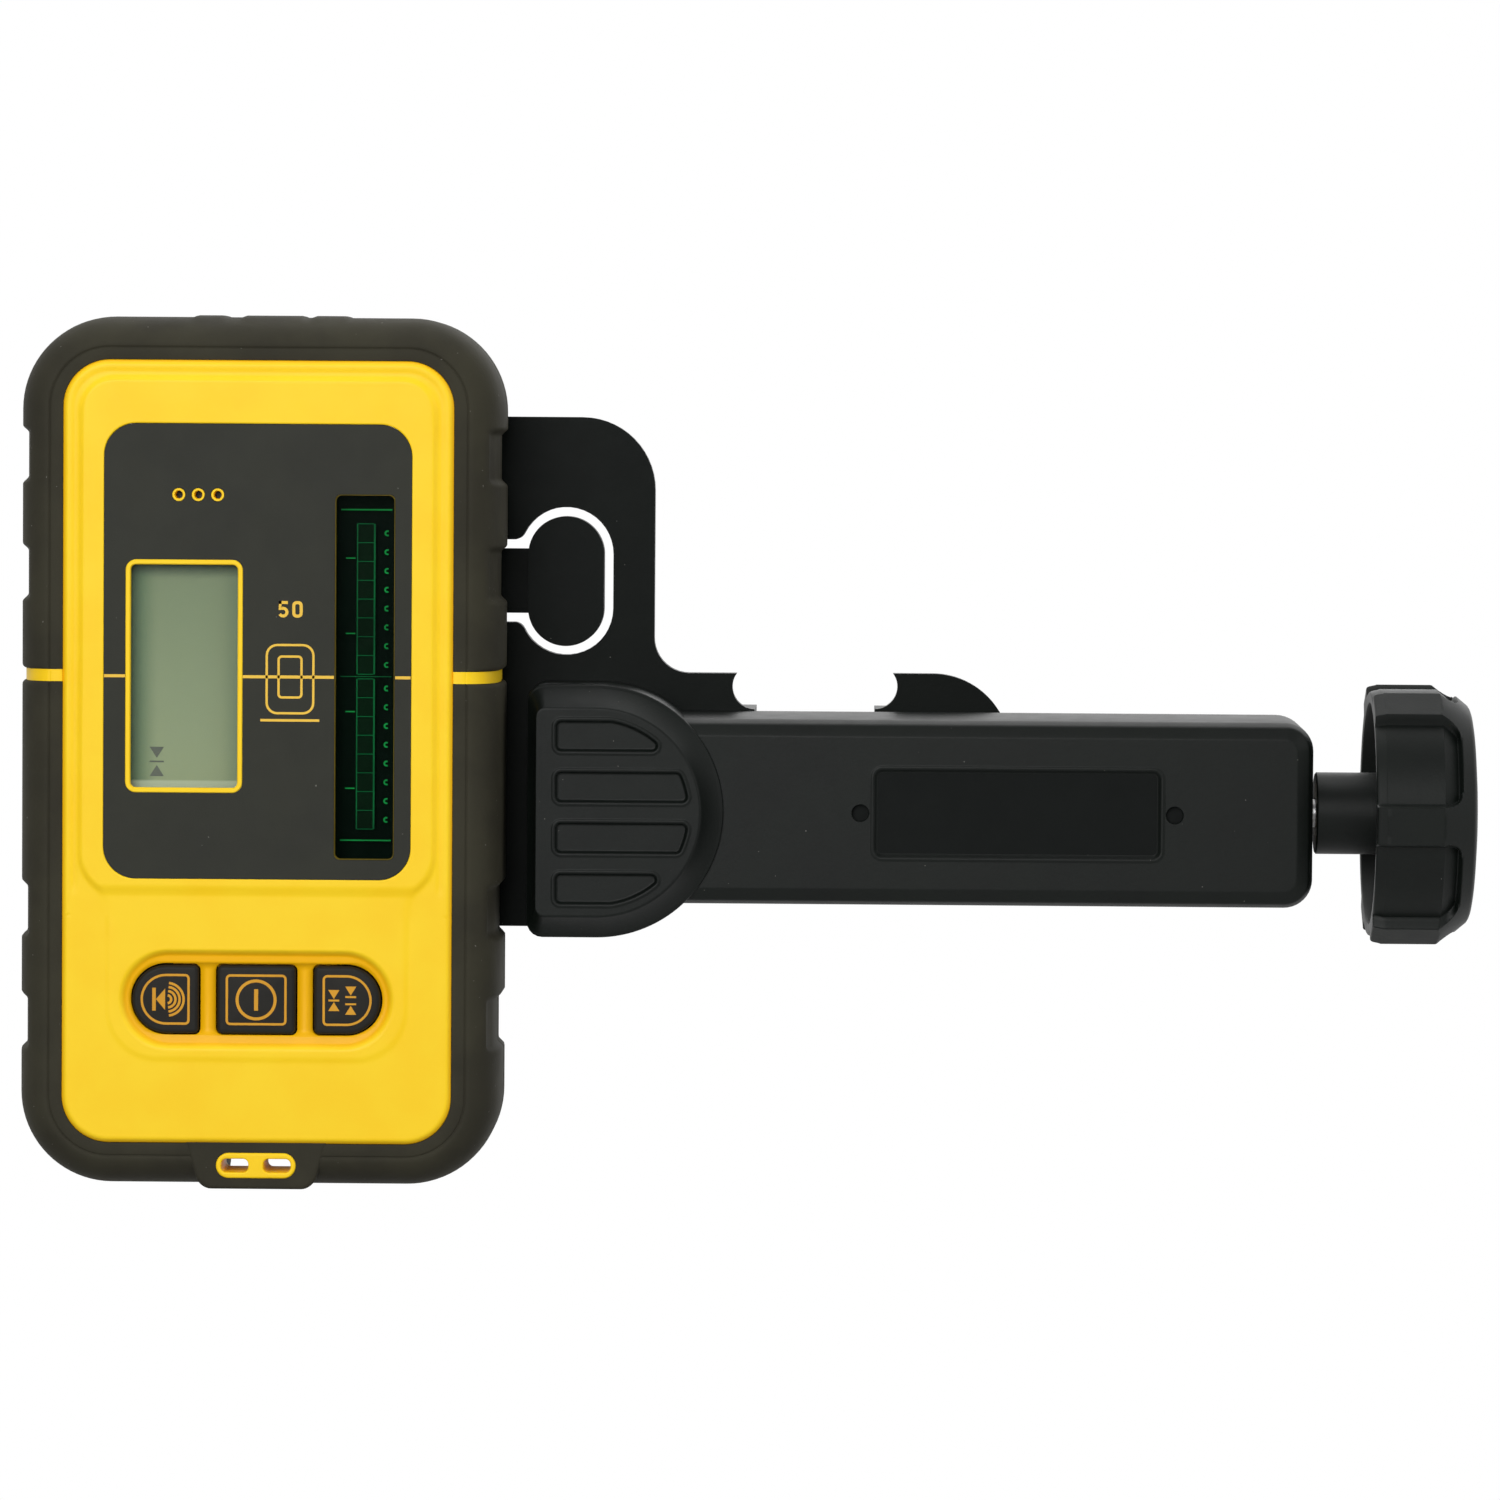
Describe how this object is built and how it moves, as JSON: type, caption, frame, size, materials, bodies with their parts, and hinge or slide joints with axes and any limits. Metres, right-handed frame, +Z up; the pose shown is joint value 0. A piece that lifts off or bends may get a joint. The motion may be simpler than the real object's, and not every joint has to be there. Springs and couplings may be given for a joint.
{
  "type": "laser receiver with rod clamp",
  "caption": "Hand-held laser receiver with display, sensor window, keys and rubber guards, held on a bracket whose screw clamp grips a levelling rod between a fixed and a sliding jaw.",
  "frame": {"origin": "middle of the gripping face of the clamp's fixed jaw", "axes": "+X out of the fixed jaw's face, along the clamp bar towards the knob; +Y from the display towards the rod; +Z up, in use"},
  "size_m": [0.2048, 0.055, 0.1215],
  "materials": {
    "case_plastic": "fine satin moulded yellow",
    "guard_rubber": "matt dark grey-brown rubber",
    "key_rubber": "matt dark grey rubber",
    "panel_film": "satin charcoal film",
    "lens": "clear",
    "lcd": "grey-green reflective display",
    "filter": "dark green optical filter",
    "circuit_board": "green solder mask",
    "chips": "dark moulded",
    "battery_sleeve": "plain dark sleeve",
    "clamp_plastic": "near-black glass-filled plastic",
    "steel": "zinc-plated",
    "brass": "turned"
  },
  "bodies": {
    "receiver_and_clamp": {"front_case": "case_plastic", "rear_case": "case_plastic", "front_guard_upper": "guard_rubber", "front_guard_lower": "guard_rubber", "rear_guard_upper": "guard_rubber", "rear_guard_lower": "guard_rubber", "case_gasket": "key_rubber", "case_screws": "steel", "front_panel": "panel_film", "lcd_window": "lens", "lcd_module": "lcd", "lcd_connectors": "key_rubber", "sensor_window": "filter", "sensor_board": "circuit_board", "photodiodes": "chips", "main_board": "circuit_board", "board_chips": "chips", "board_screws": "steel", "buzzer": "brass", "key_switches": "chips", "battery": "battery_sleeve", "battery_snap": "brass", "door_pin": "steel", "bracket_plate": "clamp_plastic", "clamp_housing": "clamp_plastic", "bracket_screws": "steel", "lever_pin": "steel", "lever_spring": "steel", "spring_rivet": "steel", "screw_bush": "brass"},
    "sound_key": {"key_sound": "key_rubber"},
    "power_key": {"key_power": "key_rubber"},
    "accuracy_key": {"key_accuracy": "key_rubber"},
    "door": {"battery_door": "clamp_plastic"},
    "lever": {"release_lever": "clamp_plastic"},
    "screw_and_knob": {"clamp_screw": "steel", "retaining_ring": "steel", "knob": "clamp_plastic"},
    "jaw": {"sliding_jaw": "clamp_plastic", "jaw_nut": "brass"}
  },
  "joints": [
    {"name": "sound_key_press", "type": "slide", "parent": "receiver_and_clamp", "child": "sound_key", "axis": [0, 1, 0], "range_m": [0, 0.0006], "stiffness_N_per_m": 300},
    {"name": "power_key_press", "type": "slide", "parent": "receiver_and_clamp", "child": "power_key", "axis": [0, 1, 0], "range_m": [0, 0.0006], "stiffness_N_per_m": 300},
    {"name": "accuracy_key_press", "type": "slide", "parent": "receiver_and_clamp", "child": "accuracy_key", "axis": [0, 1, 0], "range_m": [0, 0.0006], "stiffness_N_per_m": 300},
    {"name": "battery_door_hinge", "type": "hinge", "parent": "receiver_and_clamp", "child": "door", "pos_m": [-0.06875, -0.0166, -0.0429], "axis": [-1, 0, 0], "range_deg": [0, 90]},
    {"name": "release_lever_hinge", "type": "hinge", "parent": "receiver_and_clamp", "child": "lever", "pos_m": [-0.07075, -0.0128, 0.032], "axis": [0, 0, 1], "range_deg": [0, 4.5], "stiffness_Nm_per_rad": 0.6, "springref_deg": -1.72, "deforming": ["lever_spring"]},
    {"name": "knob_spin", "type": "hinge", "parent": "receiver_and_clamp", "child": "screw_and_knob", "pos_m": [0.08, -0.0213, 0], "axis": [1, 0, 0], "range_deg": [-2790, 6840]},
    {"name": "jaw_slide", "type": "slide", "parent": "receiver_and_clamp", "child": "jaw", "axis": [1, 0, 0], "range_m": [-0.0155, 0.038]}
  ],
  "couplings": [
    {"joint": "knob_spin", "follows": "jaw_slide", "rad_per_m": 3141.6}
  ]
}
